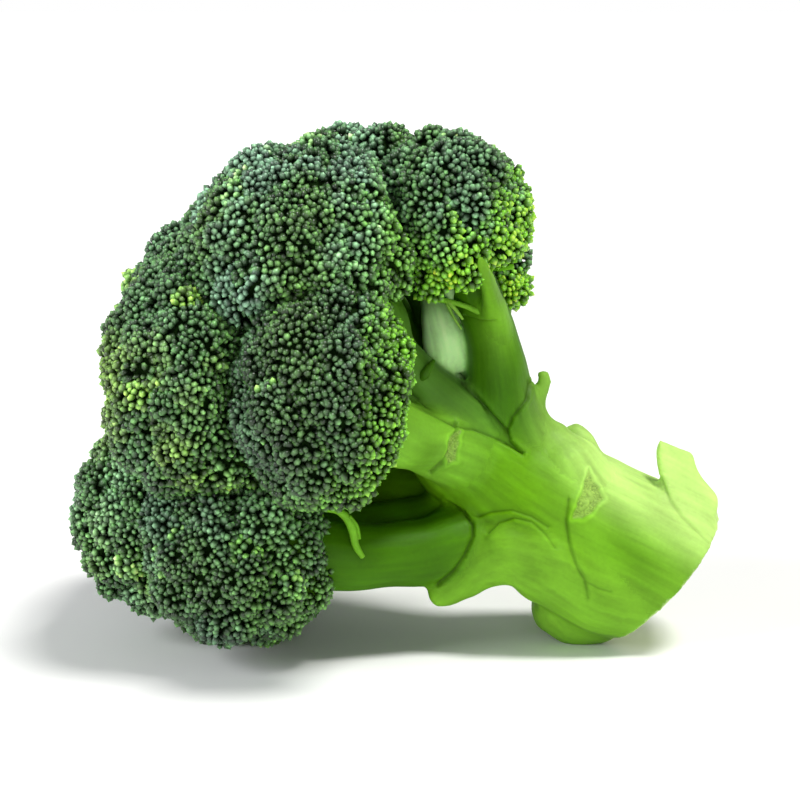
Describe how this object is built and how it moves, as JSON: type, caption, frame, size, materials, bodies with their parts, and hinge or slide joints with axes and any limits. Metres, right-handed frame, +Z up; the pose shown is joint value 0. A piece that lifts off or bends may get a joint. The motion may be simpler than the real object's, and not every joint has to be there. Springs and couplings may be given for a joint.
{
  "type": "broccoli head",
  "caption": "Head of broccoli lying on its side: a crown of tight green flower buds on stalks that fork from a trunk cut off at an angle.",
  "frame": {"origin": "on the surface the head lies on, under the middle of its outer box", "axes": "+X from the crown to the cut end of the trunk, +Z up"},
  "size_m": [0.1763, 0.1427, 0.1401],
  "materials": {
    "stalk": "satin",
    "buds": "matte"
  },
  "bodies": {
    "root": {"stem": "stalk", "floret_front": "buds", "floret_near_low": "buds", "floret_left_low": "buds", "floret_left_near": "buds", "floret_top_near": "buds", "floret_top_right": "buds", "floret_small_right": "buds", "floret_top_middle": "buds", "floret_apex": "buds", "floret_bottom": "buds", "floret_far": "buds", "floret_far_low": "buds", "floret_far_left": "buds", "floret_far_top": "buds"}
  },
  "joints": []
}
